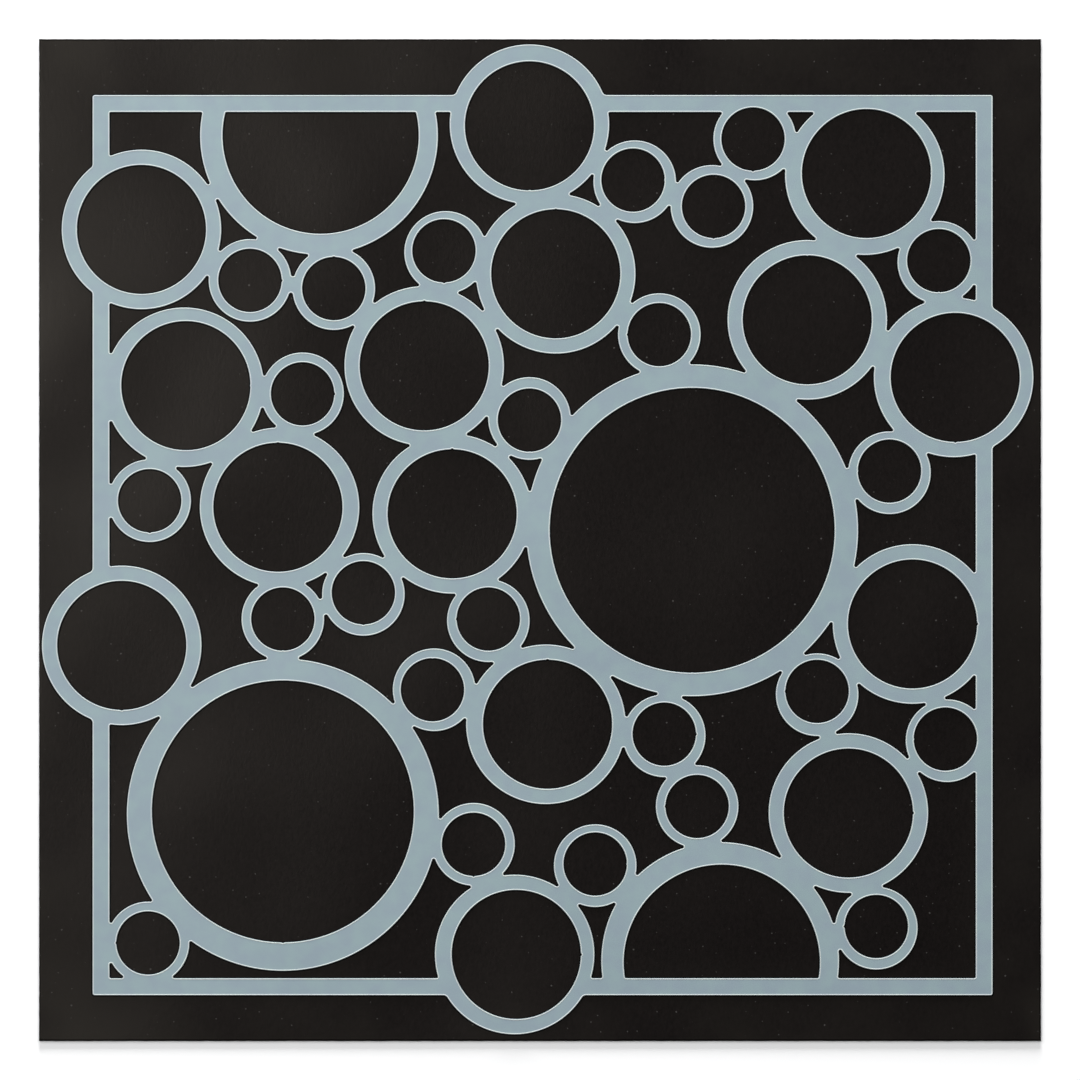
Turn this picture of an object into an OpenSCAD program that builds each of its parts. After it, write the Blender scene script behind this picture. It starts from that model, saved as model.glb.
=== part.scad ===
// Circle template: a laser-cut film stencil of overlapping rings in a square frame,
// lying on the black card that backs it. Millimetres, +Z up. The origin is the middle
// of the card's underside, and +Y is the template's top edge.

/* [Backing card] */
// Side of the square card
card_side = 152.4; // [152.4:0.1:160]
// Thickness of the card
card_t = 0.5; // [0.3:0.05:1]

/* [Template sheet] */
// Thickness of the film
sheet_t = 0.25; // [0.2:0.05:0.5]
// Outer side of the square frame
frame_side = 137; // [136.5:0.1:137.5]
// Width of the frame's four bars
bar_w = 2.7; // [2.4:0.1:3.2]
// Middle of the frame, from the middle of the card, towards +X
frame_x = 0.4; // [0:0.1:0.8]
// Middle of the frame, from the middle of the card, towards +Y
frame_y = -0.8; // [-1.6:0.1:0]

/* [Circle sizes] */
// Hole diameter of a small ring
small_hole_d = 9.5; // [9:0.1:10]
// Outside diameter of a small ring
small_rim_d = 12.7; // [12.6:0.1:13]
// Hole diameter of a medium ring
medium_hole_d = 19.5; // [19:0.1:20]
// Outside diameter of a medium ring
medium_rim_d = 24.4; // [24.2:0.1:24.8]
// Hole diameter of the half circles
half_hole_d = 29.7; // [29:0.1:30]
// Outside diameter of the half circles
half_rim_d = 36.3; // [36:0.1:36.8]
// Hole diameter of the second largest ring
large_hole_d = 39.7; // [39:0.1:40]
// Outside diameter of the second largest ring
large_rim_d = 47.6; // [47.4:0.1:48]
// Hole diameter of the largest ring
largest_hole_d = 43.2; // [42:0.1:43.5]
// Outside diameter of the largest ring
largest_rim_d = 50.6; // [50.4:0.1:51]

/* [Hidden] */
// Each ring is [x, y, rim_x, rim_y]: its hole's centre from the middle of the frame, and how
// far the rim's centre stands off the hole's, because the rims were drawn a little off centre.
small_rings = [
    // top left
    [-44.5, 40.25, 0, 0], [-31.75, 39, 0, 0], [-15, 44.75, 0.25, -0.25],
    [-36.5, 23, 0, 0], [-59.75, 6.75, 0, 0], [-2, 19, 0, 0.25],
    // top right
    [13.75, 55.5, 0.25, -0.25], [26, 51.5, -0.25, 0], [32, 61.75, 0.25, 0],
    [60.25, 43.25, 0, -0.25], [17.75, 32, 0, 0], [52.75, 11.25, 0, -0.25],
    // bottom left
    [-27.25, -7.25, 0, -0.25], [-39.5, -11.25, 0, 0], [-8.25, -11.25, 0, -0.25],
    [-16.75, -22, 0.25, 0], [-10.5, -45.5, 0, 0], [-60, -60.5, 0, 0],
    // bottom right
    [18.5, -28.75, 0, -0.25], [41.75, -22.25, 0, -0.5], [61.25, -29.5, 0.25, -0.25],
    [23.5, -39.75, 0, 0], [8, -48.5, 0, -0.25], [50.75, -58, 0, -0.25],
];
medium_rings = [
    // top left
    [-61, 48, 0, 0], [-54.25, 24.25, -0.25, -0.25], [-18, 27.25, 0, 0], [-2, 63.75, 0, 0.25],
    [-40.25, 5.75, 0.25, 0], [-13.75, 4.75, 0, 0],
    // top right
    [2, 41.25, 0, 0], [49.25, 56.5, -0.25, -0.25], [40.25, 34.25, 0, 0], [62.75, 25.5, -0.25, 0],
    // bottom left
    [-64, -15.25, 0, 0], [-4, -62.25, -0.25, 0],
    // bottom right
    [0.75, -27.25, -0.25, 0], [56.25, -12, 0, 0], [46.5, -40.75, 0, 0],
];
large_rings = [[-39.5, -40.5, 0, -0.5]];
largest_rings = [[22.75, 2.25, 0, 0]];
// The half circles hang from the top bar and stand on the bottom bar.
half_rings = [[-33.75, 62.25, -0.25, 0], [27.25, -63.5, -0.25, 0.25]];

window_side = frame_side - 2 * bar_w;
// Every rim as [x, y, radius]
function circles(rings, d) = [for (r = rings) [r[0] + r[2], r[1] + r[3], d / 2]];
all_rims = concat(
    circles(small_rings, small_rim_d), circles(medium_rings, medium_rim_d),
    circles(half_rings, half_rim_d), circles(large_rings, large_rim_d),
    circles(largest_rings, largest_rim_d)
);
// Diameter of the round webs, and how far two rims may miss or overlap and still get one
web_d = 3;
web_reach = 0.25;
// How far a cutting tool runs past both faces
past = 1;
$fn = 96;

// The rims of one class of ring, as solid discs.
module rims(rings, d) {
    for (r = rings) translate([r[0] + r[2], r[1] + r[3], 0]) cylinder(d = d, h = sheet_t);
}

// The holes of one class of ring, as tools.
module holes(rings, d) {
    for (r = rings) translate([r[0], r[1], -past]) cylinder(d = d, h = sheet_t + 2 * past);
}

// A square block on the middle of the frame.
module square_block(side, z, h) {
    translate([-side / 2, -side / 2, z]) cube([side, side, h]);
}

// The half rings, cut off straight along the middle of the bars that they join.
module half_rims() {
    intersection() {
        rims(half_rings, half_rim_d);
        square_block(frame_side - bar_w, -past, sheet_t + 2 * past);
    }
}

// A round web in each place where two rims only just meet or just miss.
module webs() {
    for (i = [0:len(all_rims) - 2], j = [i + 1:len(all_rims) - 1]) {
        a = all_rims[i];
        b = all_rims[j];
        between = [b[0] - a[0], b[1] - a[1]];
        apart = norm(between) - a[2] - b[2];
        if (apart < web_reach && apart > -web_reach)
            translate(concat([a[0], a[1]] + between * (a[2] + apart / 2) / norm(between), 0))
                cylinder(d = web_d, h = sheet_t);
    }
}

// Everything but the bars, with the half circles' holes cut, which stop at the bars.
module lattice() {
    difference() {
        union() {
            rims(small_rings, small_rim_d);
            rims(medium_rings, medium_rim_d);
            rims(large_rings, large_rim_d);
            rims(largest_rings, largest_rim_d);
            half_rims();
            webs();
        }
        holes(half_rings, half_hole_d);
    }
}

module bars() {
    difference() {
        square_block(frame_side, 0, sheet_t);
        square_block(window_side, -past, sheet_t + 2 * past);
    }
}

module backing_card() {
    color("#26211f")
        translate([-card_side / 2, -card_side / 2, 0]) cube([card_side, card_side, card_t]);
}

module template() {
    color("#9fb4bc") translate([frame_x, frame_y, card_t]) difference() {
        union() {
            lattice();
            bars();
        }
        holes(small_rings, small_hole_d);
        holes(medium_rings, medium_hole_d);
        holes(large_rings, large_hole_d);
        holes(largest_rings, largest_hole_d);
    }
}

backing_card();
template();
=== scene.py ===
import math
import random

import bmesh
import bpy
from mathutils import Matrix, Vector
from mathutils.geometry import delaunay_2d_cdt


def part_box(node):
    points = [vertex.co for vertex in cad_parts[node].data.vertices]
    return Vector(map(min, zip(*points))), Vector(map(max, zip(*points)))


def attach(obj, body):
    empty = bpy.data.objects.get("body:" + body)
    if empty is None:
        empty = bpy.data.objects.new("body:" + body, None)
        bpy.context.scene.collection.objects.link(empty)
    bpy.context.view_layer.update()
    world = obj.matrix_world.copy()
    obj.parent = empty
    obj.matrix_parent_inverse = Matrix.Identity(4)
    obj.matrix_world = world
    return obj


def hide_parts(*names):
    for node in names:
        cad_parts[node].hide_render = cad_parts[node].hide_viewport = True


# Looks of the circle template: a laser-cut film stencil lying on its black backing card.
# The film's outlines are read from the CAD sheet's own top face, smoothed, and given the
# raised, paler bead that the laser leaves along every cut.

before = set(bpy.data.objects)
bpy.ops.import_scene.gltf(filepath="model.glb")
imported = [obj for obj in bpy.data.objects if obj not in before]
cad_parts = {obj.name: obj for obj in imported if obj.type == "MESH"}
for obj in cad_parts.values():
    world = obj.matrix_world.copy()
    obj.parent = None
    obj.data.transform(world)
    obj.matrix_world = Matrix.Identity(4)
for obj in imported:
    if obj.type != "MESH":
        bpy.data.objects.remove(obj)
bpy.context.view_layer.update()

MM = 0.001
CARD_LOW, CARD_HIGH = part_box("backing_card")
FILM_LOW, FILM_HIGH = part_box("template")

# --- Outlines -------------------------------------------------------------------------

# A turn sharper than this is a corner of an outline. Arcs turn by 10 degrees at most.
CORNER_TURN = math.radians(25)
# The longest step along a finished outline
LONGEST_STEP = 1.5 * MM
# Corner radii: where the frame's bars meet outside, where a ring leaves the frame's outside,
# and at the tips of the openings, which is the laser's own width
FRAME_CORNER_R = 0.4 * MM
OUTER_TIP_R = 0.7 * MM
INNER_TIP_R = 0.17 * MM
# A run shorter than this is the blunt end of an opening's tip, and goes into the rounding
SHORTEST_RUN = 0.5 * MM
# Steps along one rounded corner, and the search step for how far back the corner starts
CORNER_STEPS = 6
TRIM_STEP = 0.01 * MM
# The most of a run that one rounded corner may take
MOST_OF_RUN = 0.45
# A point nearer than this to a trimmed end is dropped
END_CLEARANCE = 0.02 * MM
# A face of the CAD sheet belongs to its top if it points up this squarely and lies this near it
TOP_NORMAL_Z = 0.99
TOP_TOLERANCE = 0.01 * MM


def left_of(v):
    """The vector turned a quarter turn to the left, which is where the material is."""
    return Vector((-v.y, v.x))


def turn_at(a, b, c):
    """The angle by which the way from a to b turns at b to go on to c. Left is positive."""
    u = b - a
    v = c - b
    return math.atan2(u.x * v.y - u.y * v.x, u.dot(v))


def top_outlines(node):
    """The closed outlines of a flat CAD node's top face, with the material on their left."""
    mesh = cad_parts[node].data
    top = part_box(node)[1].z
    spot = {}
    directed = set()
    for face in mesh.polygons:
        if face.normal.z < TOP_NORMAL_Z or abs(face.center.z - top) > TOP_TOLERANCE:
            continue
        corners = []
        for index in face.vertices:
            co = mesh.vertices[index].co
            key = (round(co.x / MM, 4), round(co.y / MM, 4))
            spot[key] = Vector((co.x, co.y))
            corners.append(key)
        directed.update(zip(corners, corners[1:] + corners[:1]))
    follows = {a: b for a, b in sorted(directed) if (b, a) not in directed}
    outlines = []
    while follows:
        start = next(iter(follows))
        outline = [spot[start]]
        key = follows.pop(start)
        while key != start:
            outline.append(spot[key])
            key = follows.pop(key)
        outlines.append(outline)
    return outlines


def signed_area(outline):
    """The area inside an outline, positive where it runs round the material's outside."""
    return sum(a.x * b.y - b.x * a.y for a, b in zip(outline, outline[1:] + outline[:1])) / 2


def tangent_at(a, b, c):
    """The direction, at b, of the circle through three points."""
    u = b - a
    v = c - b
    return (u.normalized() * v.length + v.normalized() * u.length).normalized()


def curve_points(start, end, out, into, steps):
    """Points on a smooth curve from start, up to but without end."""
    reach = (end - start).length
    points = []
    for step in range(steps):
        t = step / steps
        h1 = 2 * t**3 - 3 * t**2 + 1
        h2 = t**3 - 2 * t**2 + t
        h3 = 3 * t**2 - 2 * t**3
        h4 = t**3 - t**2
        points.append(start * h1 + out * (reach * h2) + end * h3 + into * (reach * h4))
    return points


def smooth_run(points):
    """A run between two corners, refined along the arcs or lines that its points lie on."""
    if len(points) == 2:
        chord = (points[1] - points[0]).normalized()
        tangents = [chord, chord]
    else:
        inner = [tangent_at(*points[i - 1:i + 2]) for i in range(1, len(points) - 1)]
        first = (points[1] - points[0]).normalized()
        last = (points[-1] - points[-2]).normalized()
        tangents = [first * (2 * first.dot(inner[0])) - inner[0]]
        tangents += inner
        tangents.append(last * (2 * last.dot(inner[-1])) - inner[-1])
    refined = []
    for i in range(len(points) - 1):
        steps = max(2, math.ceil((points[i + 1] - points[i]).length / LONGEST_STEP))
        refined += curve_points(points[i], points[i + 1], tangents[i], tangents[i + 1], steps)
    return refined + [points[-1]]


def runs_between_corners(outline):
    """The outline's runs, each from one corner to the next. None where it has no corner."""
    n = len(outline)
    turns = [turn_at(outline[i - 1], outline[i], outline[(i + 1) % n]) for i in range(n)]
    corners = [i for i in range(n) if abs(turns[i]) > CORNER_TURN]
    runs = []
    for here, there in zip(corners, corners[1:] + corners[:1]):
        count = (there - here) % n or n
        runs.append([outline[(here + k) % n] for k in range(count + 1)])
    return runs


def along(run, distance):
    """The point that far along a run, and the run's direction there."""
    for a, b in zip(run, run[1:]):
        length = (b - a).length
        if distance <= length:
            return a.lerp(b, distance / length), (b - a).normalized()
        distance -= length
    return run[-1], (run[-1] - run[-2]).normalized()


def run_length(run):
    return sum((b - a).length for a, b in zip(run, run[1:]))


def turn_between(before, after):
    """The angle from the end of one run to the start of the next. Left is positive."""
    out = before[-1] - before[-2]
    onward = after[1] - after[0]
    return math.atan2(out.x * onward.y - out.y * onward.x, out.dot(onward))


def trim_for(before, after, radius):
    """How far a round corner of that radius reaches along the two runs that meet in it."""
    most = MOST_OF_RUN * min(run_length(before), run_length(after))
    backwards = before[::-1]
    side = math.copysign(1, turn_between(before, after))
    trim = 0
    while trim + TRIM_STEP < most:
        trim += TRIM_STEP
        a, a_way = along(backwards, trim)
        b, b_way = along(after, trim)
        a_middle = a - left_of(a_way) * (radius * side)
        b_middle = b + left_of(b_way) * (radius * side)
        if (b_middle - a_middle).dot(b - a) > 0:
            break
    return trim


def cut_back(run, start, end):
    """The part of a run that is left when both its ends are cut back by a length."""
    length = run_length(run)
    first, way_in = along(run, start)
    last, way_out = along(run, length - end)
    kept = [first]
    walked = 0
    for a, b in zip(run, run[1:]):
        walked += (b - a).length
        if start + END_CLEARANCE < walked < length - end - END_CLEARANCE:
            kept.append(b)
    kept.append(last)
    return kept, way_in, way_out


def rounded_corner(a, a_way, b, b_way):
    """Points on the curve that rounds a corner from a to b, without its two ends."""
    angle = abs(math.atan2(a_way.x * b_way.y - a_way.y * b_way.x, a_way.dot(b_way)))
    radius = (b - a).length / (2 * math.sin(angle / 2))
    handle = radius * 4 / 3 * math.tan(angle / 4)
    c = a + a_way * handle
    d = b - b_way * handle
    points = []
    for step in range(1, CORNER_STEPS):
        t = step / CORNER_STEPS
        s = 1 - t
        points.append(a * s**3 + c * (3 * s * s * t) + d * (3 * s * t * t) + b * t**3)
    return points


def finished_outline(outline):
    """An outline with true arcs and with its corners rounded as the laser leaves them."""
    outside = signed_area(outline) > 0
    runs = [run for run in runs_between_corners(outline) if run_length(run) > SHORTEST_RUN]
    runs = [smooth_run(run) for run in runs]
    trims = []
    for before, after in zip(runs, runs[1:] + runs[:1]):
        if turn_between(before, after) > 0:
            radius = FRAME_CORNER_R
        else:
            radius = OUTER_TIP_R if outside else INNER_TIP_R
        trims.append(trim_for(before, after, radius))
    pieces = [cut_back(run, trims[i - 1], trims[i]) for i, run in enumerate(runs)]
    points = []
    for (kept, _, way_out), (onward, way_in, _) in zip(pieces, pieces[1:] + pieces[:1]):
        points += kept
        points += rounded_corner(kept[-1], way_out, onward[0], way_in)
    return points


# --- Circular holes, with the laser's start marks --------------------------------------

# How deep a start mark is, and how far it reaches along the edge
MARK_DEPTH = (0.08 * MM, 0.15 * MM)
MARK_REACH = 0.16 * MM
# The share of start marks that are bumps, and how a bump compares with a nick
BUMP_SHARE = 0.3
BUMP_SCALE = -0.5
# Finer points run this many half reaches to each side of the mark's middle
MARK_HALF_STEPS = 5
# The mark has faded to nothing this many reaches away
MARK_FADE = 4
# The angle between points on the rest of the circle
CIRCLE_STEP = math.radians(3.6)
# The seed for the start marks
MARK_SEED = 12


def hole_outline(outline, rng):
    """A true circle, cut clockwise, with a small nick or bump where the cut began."""
    middle = sum(outline, Vector((0, 0))) / len(outline)
    radius = (outline[0] - middle).length
    quarter = rng.randrange(4) * math.pi / 2
    depth = rng.uniform(*MARK_DEPTH)
    if rng.random() < BUMP_SHARE:
        depth *= BUMP_SCALE
    reach = MARK_REACH / radius
    fine = range(-MARK_HALF_STEPS, MARK_HALF_STEPS + 1)
    angles = [quarter + reach * k / 2 for k in fine]
    start = angles[-1]
    rest = 2 * math.pi - MARK_HALF_STEPS * reach
    steps = round(rest / CIRCLE_STEP)
    gap = rest / steps
    angles += [start + gap * k for k in range(1, steps)]
    points = []
    for angle in reversed(angles):
        away = (angle - quarter) / reach
        r = radius + depth * math.exp(-away * away) if away < MARK_FADE else radius
        points.append(middle + Vector((math.cos(angle), math.sin(angle))) * r)
    return points


# --- Flat cut pieces -------------------------------------------------------------------

# Points nearer than this count as one when a flat cap is triangulated
CAP_MERGE = 1e-9


def offset_ring(outline, inset):
    """The outline moved into the material."""
    n = len(outline)
    ring = []
    for i in range(n):
        around = (outline[i - 1], outline[i], outline[(i + 1) % n])
        mitre = 1 / math.cos(turn_at(*around) / 2)
        ring.append(outline[i] + left_of(tangent_at(*around)) * (inset * mitre))
    return ring


def cap_faces(rings):
    """Triangles that fill the material between closed rings, as lists of (ring, place)."""
    points = []
    edges = []
    owner = []
    for r, ring in enumerate(rings):
        base = len(points)
        points += ring
        owner += [(r, i) for i in range(len(ring))]
        edges += [(base + i, base + (i + 1) % len(ring)) for i in range(len(ring))]
    verts, _, faces, origin, _, _ = delaunay_2d_cdt(points, edges, [], 0, CAP_MERGE)
    if len(verts) != len(points):
        raise RuntimeError("two outlines cross")
    order = [owner[group[0]] for group in origin]
    return keep_material(order, faces, rings)


def keep_material(order, faces, rings):
    """The triangles on the material's side of the rings, found from the rings inwards."""
    by_edge = {}
    for f, face in enumerate(faces):
        for a, b in zip(face, face[1:] + face[:1]):
            by_edge[(a, b)] = f
    vertex = {key: v for v, key in enumerate(order)}
    walls = set()
    seeds = []
    for r, ring in enumerate(rings):
        for i in range(len(ring)):
            a = vertex[(r, i)]
            b = vertex[(r, (i + 1) % len(ring))]
            walls.update([(a, b), (b, a)])
            seeds.append(by_edge[(a, b)])
    kept = set(seeds)
    waiting = list(kept)
    while waiting:
        face = faces[waiting.pop()]
        for a, b in zip(face, face[1:] + face[:1]):
            other = by_edge.get((b, a))
            if (a, b) not in walls and other is not None and other not in kept:
                kept.add(other)
                waiting.append(other)
    return [[order[v] for v in faces[f]] for f in sorted(kept)]


def cut_piece(name, outlines, profile, low):
    """A closed flat piece. Its profile is (inset, height, slot) from the foot of its cut edge
    to its flat top, where slot is the material of the band that ends there."""
    mesh = bpy.data.meshes.new(name)
    bm = bmesh.new()
    levels = []
    for inset, height, _ in profile:
        rings = [offset_ring(outline, inset) for outline in outlines]
        levels.append([[bm.verts.new((p.x, p.y, low + height)) for p in ring] for ring in rings])
    for below, above, (_, _, slot) in zip(levels, levels[1:], profile[1:]):
        for lower, upper in zip(below, above):
            for i in range(len(lower)):
                j = (i + 1) % len(lower)
                band = bm.faces.new((lower[i], lower[j], upper[j], upper[i]))
                band.material_index = slot
                band.smooth = True
    for level, upward in ((levels[0], False), (levels[-1], True)):
        flat = [[Vector(v.co[:2]) for v in ring] for ring in level]
        for triangle in cap_faces(flat):
            corners = [level[r][i] for r, i in triangle]
            face = bm.faces.new(corners if upward else corners[::-1])
            face.smooth = upward
    bm.to_mesh(mesh)
    bm.free()
    piece = bpy.data.objects.new(name, mesh)
    bpy.context.scene.collection.objects.link(piece)
    return piece


# --- Materials -------------------------------------------------------------------------


class Nodes:
    """A material's node tree, with short ways to add and join nodes."""

    def __init__(self, name):
        self.material = bpy.data.materials.new(name)
        self.material.use_nodes = True
        self.tree = self.material.node_tree
        self.shader = self.tree.nodes["Principled BSDF"]

    def add(self, kind, inputs=None, **settings):
        node = self.tree.nodes.new(kind)
        for key, value in settings.items():
            setattr(node, key, value)
        for key, value in (inputs or {}).items():
            if isinstance(value, bpy.types.NodeSocket):
                self.tree.links.new(value, node.inputs[key])
            else:
                node.inputs[key].default_value = value
        return node

    def link(self, socket, key):
        self.tree.links.new(socket, self.shader.inputs[key])

    def coordinates(self, stretch=(1, 1, 1)):
        """Object coordinates, in metres times a stretch."""
        coords = self.add("ShaderNodeTexCoord").outputs["Object"]
        mapping = self.add("ShaderNodeMapping", {"Vector": coords, "Scale": stretch})
        return mapping.outputs["Vector"]

    def noise(self, size, detail=2.0, stretch=(1, 1, 1), rough=0.5):
        """Smooth noise whose blotches are about size metres across, from 0 to 1."""
        inputs = {"Vector": self.coordinates(stretch), "Scale": 1 / size, "Detail": detail,
                  "Roughness": rough}
        return self.add("ShaderNodeTexNoise", inputs).outputs["Fac"]

    def ramp(self, factor, low, high, from_min=0.35, from_max=0.65):
        """A value carried from the noise's usual range to a range of its own."""
        inputs = {"Value": factor, "From Min": from_min, "From Max": from_max,
                  "To Min": low, "To Max": high}
        return self.add("ShaderNodeMapRange", inputs, clamp=True).outputs["Result"]

    def blend(self, factor, a, b, mode="MIX"):
        """Two colours mixed by a factor."""
        node = self.add("ShaderNodeMix", data_type="RGBA", blend_type=mode)
        for key, value in (("Factor_Float", factor), ("A_Color", a), ("B_Color", b)):
            socket = next(s for s in node.inputs if s.identifier == key)
            if isinstance(value, bpy.types.NodeSocket):
                self.tree.links.new(value, socket)
            else:
                socket.default_value = value
        return next(s for s in node.outputs if s.identifier == "Result_Color")

    def painted_edge_sheen(self, start, end):
        """A mask for painted sheen: from 0 inside a square of half side start to about 1 at half
        side end, in patches.
        """
        inputs = {"Vector": self.add("ShaderNodeTexCoord").outputs["Object"]}
        apart = self.add("ShaderNodeSeparateXYZ", inputs)
        sides = []
        for axis in "XY":
            size = self.add("ShaderNodeMath", {0: apart.outputs[axis]}, operation="ABSOLUTE")
            sides.append(self.ramp(size.outputs[0], 0, 1, start, end))
        both = self.add("ShaderNodeMath", {0: sides[0], 1: sides[1]}, operation="ADD")
        patches = self.ramp(self.noise(0.025, 3), 0, 0.7, 0.4, 0.6)
        return self.add("ShaderNodeMath", {0: both.outputs[0], 1: patches}, operation="MULTIPLY",
                        use_clamp=True).outputs[0]

    def bump(self, height, distance, strength, under=None):
        inputs = {"Height": height, "Distance": distance, "Strength": strength}
        if under is not None:
            inputs["Normal"] = under
        return self.add("ShaderNodeBump", inputs).outputs["Normal"]


def tinted(colour, tint):
    """A colour times a tint, as a node takes it."""
    return (*[c * t for c, t in zip(colour, tint)], 1)


# The film's mottle goes a little towards these two casts
COOL_TINT = (1.00, 0.97, 1.03)
GREEN_TINT = (0.96, 1.02, 0.96)
# How far the film's roughness strays to each side of its gloss value
GLOSS_SPREAD = 0.06


def film_material(name, pale, deep, gloss):
    """Milky frosted film: soft cloudy colour, a fine matt tooth and a satin gloss."""
    m = Nodes(name)
    clouds = m.ramp(m.noise(0.030, 2), 0, 1)
    mottle = m.ramp(m.noise(0.0025, 3), 0, 1)
    base = m.blend(clouds, (*pale, 1), (*deep, 1))
    cast = m.blend(mottle, tinted(deep, COOL_TINT), tinted(pale, GREEN_TINT))
    m.link(m.blend(0.5, base, cast), "Base Color")
    m.link(m.ramp(m.noise(0.004, 3), gloss - GLOSS_SPREAD, gloss + GLOSS_SPREAD), "Roughness")
    tooth = m.bump(m.noise(0.00012, 2), 0.01 * MM, 0.35)
    m.link(m.bump(m.noise(0.006, 1), 0.05 * MM, 0.25, tooth), "Normal")
    m.shader.inputs["Specular IOR Level"].default_value = 0.4
    return m.material


# Where the card's painted sheen starts, and where it is full, from the card's middle: its colour
# goes paler in patches towards the edges and corners
SHEEN_START = 0.062
SHEEN_FULL = 0.0762
PAINTED_SHEEN_COLOUR = (0.0080, 0.0068, 0.0058, 1)
DUST_COLOUR = (0.04, 0.038, 0.036, 1)
# How much paler than the card's light tone its fibres and its grain are
FIBRE_TINT = (1.5, 1.5, 1.5)
GRAIN_TINT = (1.9, 1.9, 1.9)


def card_material(name, dark, light):
    """Black uncoated card: long faint fibres, a cloudy body, grain, a painted sheen that is
    paler in patches towards its edges and corners, and a little dust.
    """
    m = Nodes(name)
    clouds = m.ramp(m.noise(0.020, 3), 0, 1)
    fibres = m.ramp(m.noise(0.0006, 4, (1, 0.4, 1), 0.6), 0, 1)
    body = m.blend(clouds, (*dark, 1), (*light, 1))
    streaked = m.blend(m.ramp(fibres, 0, 0.25, 0, 1), body, tinted(light, FIBRE_TINT))
    grain = m.noise(0.00035, 4, (1, 0.6, 1), 0.65)
    grained = m.blend(m.ramp(grain, 0, 1.0), streaked, tinted(light, GRAIN_TINT))
    # Painted sheen: the card's colour goes paler in patches towards its edges and corners
    sheened = m.blend(m.painted_edge_sheen(SHEEN_START, SHEEN_FULL), grained, PAINTED_SHEEN_COLOUR)
    specks = m.ramp(m.noise(0.0005, 0), 0, 1, 0.82, 0.86)
    m.link(m.blend(specks, sheened, DUST_COLOUR), "Base Color")
    m.link(m.ramp(fibres, 0.325, 0.355, 0, 1), "Roughness")
    waves = m.bump(m.noise(0.045, 1), 1.6 * MM, 1)
    rough = m.bump(grain, 0.02 * MM, 0.5, waves)
    m.link(m.bump(fibres, 0.01 * MM, 0.2, rough), "Normal")
    m.shader.inputs["Specular IOR Level"].default_value = 0.14
    m.shader.inputs["Specular Tint"].default_value = (1, 0.92, 0.80, 1)
    return m.material


def shadow_and_crushed_edge_material(name, dark, light):
    """Dead matt black which takes no highlight: a painted contact shadow at the film's foot, and
    the card's crushed paper edge.
    """
    m = Nodes(name)
    m.link(m.blend(m.ramp(m.noise(0.0008, 3), 0, 1), (*dark, 1), (*light, 1)), "Base Color")
    m.link(m.ramp(m.noise(0.0004, 2), 0.85, 0.95), "Roughness")
    m.link(m.bump(m.noise(0.0001, 3), 0.01 * MM, 0.5), "Normal")
    m.shader.inputs["Specular IOR Level"].default_value = 0
    return m.material


def floor_material():
    """A plain pale floor. From below it is clear, and it lets the lamp under it shine up."""
    m = Nodes("studio_floor")
    m.link(m.blend(m.noise(0.08, 2), (0.86, 0.86, 0.86, 1), (0.88, 0.88, 0.88, 1)), "Base Color")
    m.shader.inputs["Roughness"].default_value = 0.9
    m.shader.inputs["Specular IOR Level"].default_value = 0.1
    clear = m.add("ShaderNodeBsdfTransparent").outputs["BSDF"]
    from_below = m.add("ShaderNodeNewGeometry").outputs["Backfacing"]
    to_lamp = m.add("ShaderNodeLightPath").outputs["Is Shadow Ray"]
    either = m.add("ShaderNodeMath", {0: from_below, 1: to_lamp}, operation="MAXIMUM")
    sides = {0: either.outputs[0], 1: m.shader.outputs["BSDF"], 2: clear}
    surface = m.add("ShaderNodeMixShader", sides).outputs["Shader"]
    m.tree.links.new(surface, m.tree.nodes["Material Output"].inputs["Surface"])
    return m.material


# --- The two pieces --------------------------------------------------------------------

# The film lies this far off the card, because a cut sheet is never quite flat.
FILM_GAP = 0.06 * MM
FILM_T = FILM_HIGH.z - FILM_LOW.z
# The cut edge leans in a little towards the top, and ends in a raised bead. At its foot a
# near-black flange reaches out onto the card as a painted contact shadow.
FILM_PROFILE = [
    # Painted contact shadow: this first band is a near-black flange reaching 0.12 mm out onto
    # the card round every cut
    (-0.12 * MM, 0, 0),
    (0.02 * MM, 0.012 * MM, 3),
    # The cut wall, whose darker colour is partly the cut's own tint and partly painted shade
    (0.08 * MM, FILM_T - 0.03 * MM, 2),
    (0.10 * MM, FILM_T + 0.01 * MM, 1),
    (0.13 * MM, FILM_T + 0.035 * MM, 1),
    (0.17 * MM, FILM_T + 0.038 * MM, 1),
    (0.21 * MM, FILM_T + 0.018 * MM, 1),
    (0.25 * MM, FILM_T, 1),
    (0.30 * MM, FILM_T, 0),
]


def film_materials():
    """The sheet's flat face, its raised bead, its cut wall in a darker copy of the film colour
    that is partly painted shade, and a near-black flange at the foot of the cut that is a
    painted contact shadow.
    """
    return [
        film_material("film", (0.23, 0.297, 0.325), (0.203, 0.264, 0.292), 0.42),
        film_material("film_rim", (0.50, 0.53, 0.52), (0.44, 0.48, 0.48), 0.35),
        # The cut wall: a darker copy of the film colour, partly the cut's own tint and partly
        # painted shade
        film_material("film_wall_tint_and_shade", (0.12, 0.15, 0.165), (0.09, 0.12, 0.135), 0.5),
        # Painted contact shadow round the foot of every cut
        shadow_and_crushed_edge_material("film_contact_shadow", (0.0006, 0.0006, 0.0006), (0.0014, 0.0013, 0.0012)),
    ]


def make_film():
    """The laser-cut film sheet: all its rings, half rings and bars in one piece."""
    rng = random.Random(MARK_SEED)
    outlines = []
    for outline in top_outlines("template"):
        if runs_between_corners(outline):
            outlines.append(finished_outline(outline))
        else:
            outlines.append(hole_outline(outline, rng))
    film = cut_piece("film_sheet", outlines, FILM_PROFILE, FILM_LOW.z + FILM_GAP)
    for material in film_materials():
        film.data.materials.append(material)
    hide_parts("template")
    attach(film, "template")


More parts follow.
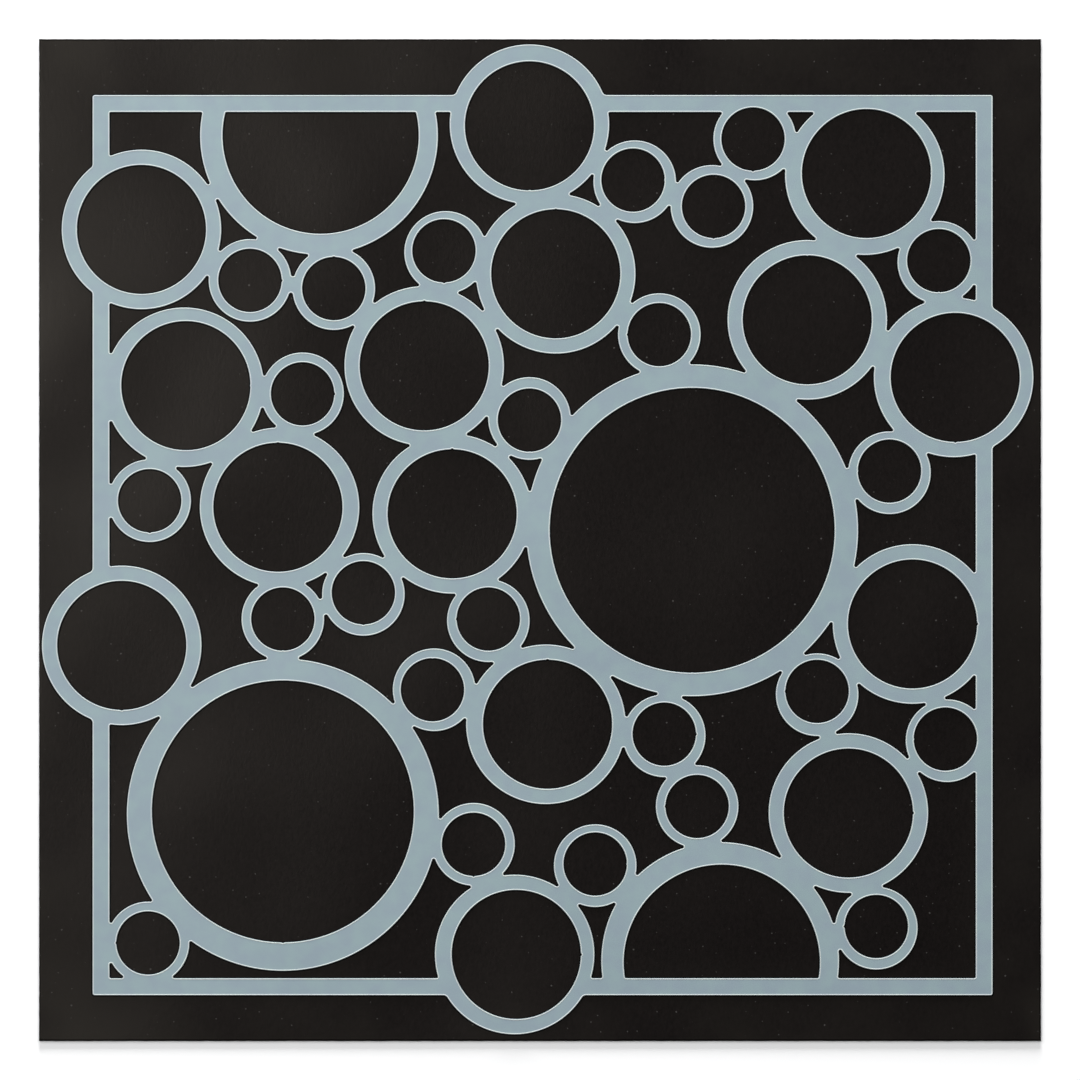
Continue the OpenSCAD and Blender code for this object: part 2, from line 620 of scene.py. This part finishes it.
CARD_T = CARD_HIGH.z - CARD_LOW.z
# The rounding of the card's edges, and how far its rim is pressed down
CARD_EDGE_R = 0.08 * MM
CARD_PRESS = 0.02 * MM
# The step along the card's sides, how far they waver inwards, and the seed for it
CARD_STEP = 0.6 * MM
CARD_WOBBLE = 0.03 * MM
CARD_SEED = 5
# The profile's last two rows lie on the card's face, and the rest is its pressed dark edge.
CARD_PROFILE = [
    (CARD_EDGE_R, 0, 1),
    (CARD_EDGE_R * 0.3, CARD_EDGE_R * 0.3, 1),
    (0, CARD_EDGE_R, 1),
    (0, CARD_T - CARD_EDGE_R - CARD_PRESS, 1),
    (CARD_EDGE_R * 0.3, CARD_T - CARD_EDGE_R * 0.3 - CARD_PRESS, 1),
    (CARD_EDGE_R, CARD_T - CARD_PRESS, 1),
    (0.20 * MM, CARD_T - CARD_PRESS / 4, 1),
    (0.24 * MM, CARD_T, 0),
    (0.32 * MM, CARD_T, 0),
]


def cut_square(low, high):
    """A square's outline, counter-clockwise, with crisp corners and barely wavering sides."""
    rng = random.Random(CARD_SEED)
    corners = [
        Vector((high.x, high.y)),
        Vector((low.x, high.y)),
        Vector((low.x, low.y)),
        Vector((high.x, low.y)),
    ]
    points = []
    for start, end in zip(corners, corners[1:] + corners[:1]):
        points.append(start)
        steps = round((end - start).length / CARD_STEP)
        inward = left_of((end - start).normalized())
        for step in range(1, steps):
            points.append(start.lerp(end, step / steps) + inward * rng.uniform(0, CARD_WOBBLE))
    return points


def card_materials():
    """The card's black face, and its crushed edge."""
    return [
        card_material("black_card", (0.0012, 0.0008, 0.0011), (0.0022, 0.0016, 0.0017)),
        shadow_and_crushed_edge_material("card_edge", (0.0008, 0.0007, 0.0006), (0.0020, 0.0017, 0.0015)),
    ]


def make_card():
    """The black card that the film lies on."""
    outline = cut_square(CARD_LOW, CARD_HIGH)
    card = cut_piece("card_sheet", [outline], CARD_PROFILE, CARD_LOW.z)
    for material in card_materials():
        card.data.materials.append(material)
    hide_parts("backing_card")
    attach(card, "card")


# --- Studio ----------------------------------------------------------------------------

# A hair under the card, so that the two are never in one plane
FLOOR_Z = -0.05 * MM
FLOOR_SIDE = 6
# The sky's strength as a light, and where the camera sees it
SKY_LIGHT = 0.15
SKY_SEEN = 0.9
SKY_COLOUR = (0.95, 0.97, 1, 1)


def make_floor():
    bpy.ops.mesh.primitive_plane_add(size=FLOOR_SIDE, location=(0, 0, FLOOR_Z))
    floor = bpy.context.object
    floor.name = "studio_floor"
    floor.data.materials.append(floor_material())


def make_lamp(name, spot, size, power, glossy=True):
    """A square soft light aimed at the object. Without glossy it gives no highlights."""
    light = bpy.data.lights.new(name, "AREA")
    light.shape = "SQUARE"
    light.size = size
    light.energy = power
    lamp = bpy.data.objects.new(name, light)
    lamp.location = spot
    lamp.rotation_euler = (-Vector(spot)).to_track_quat("-Z", "Y").to_euler()
    lamp.visible_glossy = glossy
    lamp.visible_camera = False
    bpy.context.scene.collection.objects.link(lamp)


def make_world():
    """A dim sky to light by, which is pale where the camera sees it past the floor."""
    world = bpy.data.worlds.new("studio")
    world.use_nodes = True
    nodes = world.node_tree.nodes
    seen = nodes.new("ShaderNodeLightPath").outputs["Is Camera Ray"]
    strength = nodes.new("ShaderNodeMapRange")
    strength.inputs["To Min"].default_value = SKY_LIGHT
    strength.inputs["To Max"].default_value = SKY_SEEN
    world.node_tree.links.new(seen, strength.inputs["Value"])
    world.node_tree.links.new(strength.outputs["Result"], nodes["Background"].inputs["Strength"])
    nodes["Background"].inputs["Color"].default_value = SKY_COLOUR
    bpy.context.scene.world = world


# The view is this many times as wide as the card, which leaves a narrow margin all round.
VIEW_MARGIN = 1.0778
VIEW_WIDTH = (CARD_HIGH.x - CARD_LOW.x) * VIEW_MARGIN
CAMERA_HEIGHT = 1.2
SENSOR_WIDTH = 36
CLIP_END = 20


def make_camera():
    data = bpy.data.cameras.new("camera")
    data.sensor_width = SENSOR_WIDTH
    data.lens = SENSOR_WIDTH * (CAMERA_HEIGHT - CARD_HIGH.z) / VIEW_WIDTH
    data.clip_end = CLIP_END
    camera = bpy.data.objects.new("camera", data)
    camera.location = (0, 0, CAMERA_HEIGHT)
    bpy.context.scene.collection.objects.link(camera)
    bpy.context.scene.camera = camera


make_camera()
make_floor()
make_world()
# Each lamp's name, its place and side in metres, and its power in watts
make_lamp("key", (-0.34, 0.11, 0.85), 0.28, 3.6)
make_lamp("left", (-0.42, 0.22, 0.36), 0.3, 1.0)
make_lamp("right", (0.42, 0.25, 0.60), 0.4, 1.5)
make_lamp("back", (0.0, 1.60, 0.40), 0.6, 55, glossy=False)
make_lamp("below", (0.0, 0.25, -0.60), 0.8, 8)
bpy.context.scene.view_settings.view_transform = "Standard"
make_card()
make_film()
